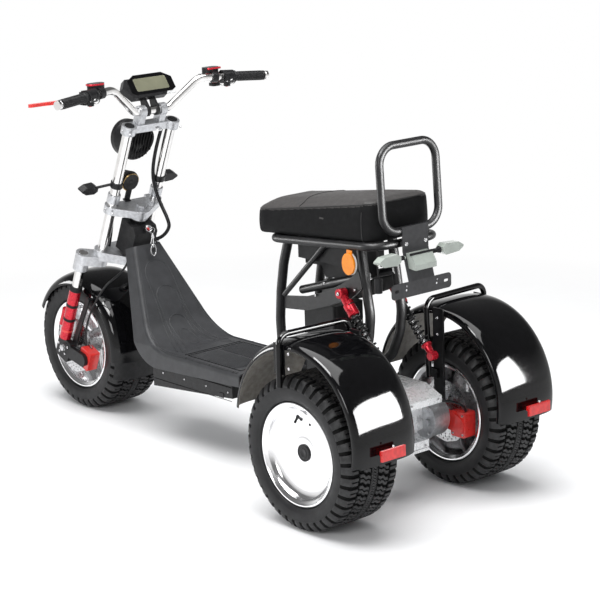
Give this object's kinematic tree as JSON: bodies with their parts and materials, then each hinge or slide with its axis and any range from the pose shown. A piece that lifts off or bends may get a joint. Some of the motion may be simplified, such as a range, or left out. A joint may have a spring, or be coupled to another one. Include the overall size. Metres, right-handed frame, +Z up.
{
  "type": "electric tilting tricycle scooter",
  "caption": "Fat-tyred electric trike with a raked fork, flat footboard, long seat, backrest hoop and a leaning front frame on a rear axle.",
  "frame": {"origin": "on the ground, in the middle of the trike's length and width", "axes": "+X forward, +Y to the rider's left, +Z up"},
  "size_m": [2.206, 0.988, 1.2841],
  "materials": {
    "frame_black": "satin black",
    "chrome_tube": "polished",
    "cast_silver": "satin cast",
    "fender_black": "gloss black",
    "red_anodised": "red anodised",
    "tyre_black": "knobby",
    "rim_polished": "polished",
    "steel": "ground",
    "black_plastic": "moulded",
    "grip_rubber": "ribbed",
    "seat_vinyl": "black vinyl",
    "deck_grey": "embossed",
    "lens_clear": "clear",
    "amber": "amber reflector",
    "reflector_red": "red reflector",
    "lamp_white": "clear lamp",
    "hose_black": "hose",
    "sheet_silver": "silver paint",
    "bracket_grey": "grey paint"
  },
  "bodies": {
    "frame": {"main_frame": "frame_black", "seat_frame": "frame_black", "seat": "seat_vinyl", "underseat_box": "black_plastic", "battery_pack": "black_plastic", "battery_box": "frame_black", "footboard": "deck_grey", "head_cover": "black_plastic", "key_switch": "black_plastic", "rear_shocks": "red_anodised", "backrest_hoop": "frame_black", "tail_bracket": "bracket_grey", "rear_lamps": "lamp_white", "side_reflectors": "amber", "charge_cap": "black_plastic", "harness_lower": "hose_black", "brake_hose_upper": "hose_black"},
    "steering": {"fork_tubes": "chrome_tube", "top_clamp": "cast_silver", "middle_clamp": "cast_silver", "yoke": "cast_silver", "stanchions": "chrome_tube", "lower_legs": "red_anodised", "axle_brackets": "frame_black", "front_axle": "steel", "front_caliper": "red_anodised", "front_fender": "fender_black", "mud_flap": "black_plastic", "handlebar": "chrome_tube", "grips": "grip_rubber", "switch_housings": "black_plastic", "master_cylinders": "black_plastic", "brake_levers": "red_anodised", "display": "black_plastic", "headlight": "black_plastic", "headlight_lens": "lens_clear", "horn": "black_plastic", "front_indicators": "black_plastic", "harness_upper": "hose_black", "conduit": "hose_black", "brake_hose_lower": "hose_black"},
    "front_wheel": {"front_tyre": "tyre_black", "front_rim": "rim_polished", "front_disc": "steel"},
    "rear_carriage": {"axle_box": "sheet_silver", "wheel_carriers": "cast_silver", "rear_calipers": "red_anodised", "rear_fender_left": "fender_black", "rear_fender_right": "fender_black", "fender_straps": "frame_black", "fender_hoops": "frame_black", "rear_reflectors": "reflector_red", "rear_brake_hoses": "hose_black"},
    "rear_wheel_left": {"rear_tyre_left": "tyre_black", "rear_rim_left": "rim_polished", "rear_disc_left": "steel"},
    "rear_wheel_right": {"rear_tyre_right": "tyre_black", "rear_rim_right": "rim_polished", "rear_disc_right": "steel"}
  },
  "joints": [
    {"name": "steering_head", "type": "hinge", "parent": "frame", "child": "steering", "pos_m": [0.55495, 0, 0.80094], "axis": [-0.4035, 0, 0.915], "range_deg": [-38, 38]},
    {"name": "front_wheel_spin", "type": "hinge", "parent": "steering", "child": "front_wheel", "pos_m": [0.855, 0, 0.248], "axis": [0, 1, 0], "continuous": true},
    {"name": "tilt", "type": "hinge", "parent": "frame", "child": "rear_carriage", "pos_m": [-0.61, 0, 0.3], "axis": [1, 0, 0], "range_deg": [-6, 6], "stiffness_Nm_per_rad": 650},
    {"name": "rear_wheel_left_spin", "type": "hinge", "parent": "rear_carriage", "child": "rear_wheel_left", "pos_m": [-0.77, 0.3195, 0.248], "axis": [0, 1, 0], "continuous": true},
    {"name": "rear_wheel_right_spin", "type": "hinge", "parent": "rear_carriage", "child": "rear_wheel_right", "pos_m": [-0.77, -0.3195, 0.248], "axis": [0, 1, 0], "continuous": true}
  ]
}
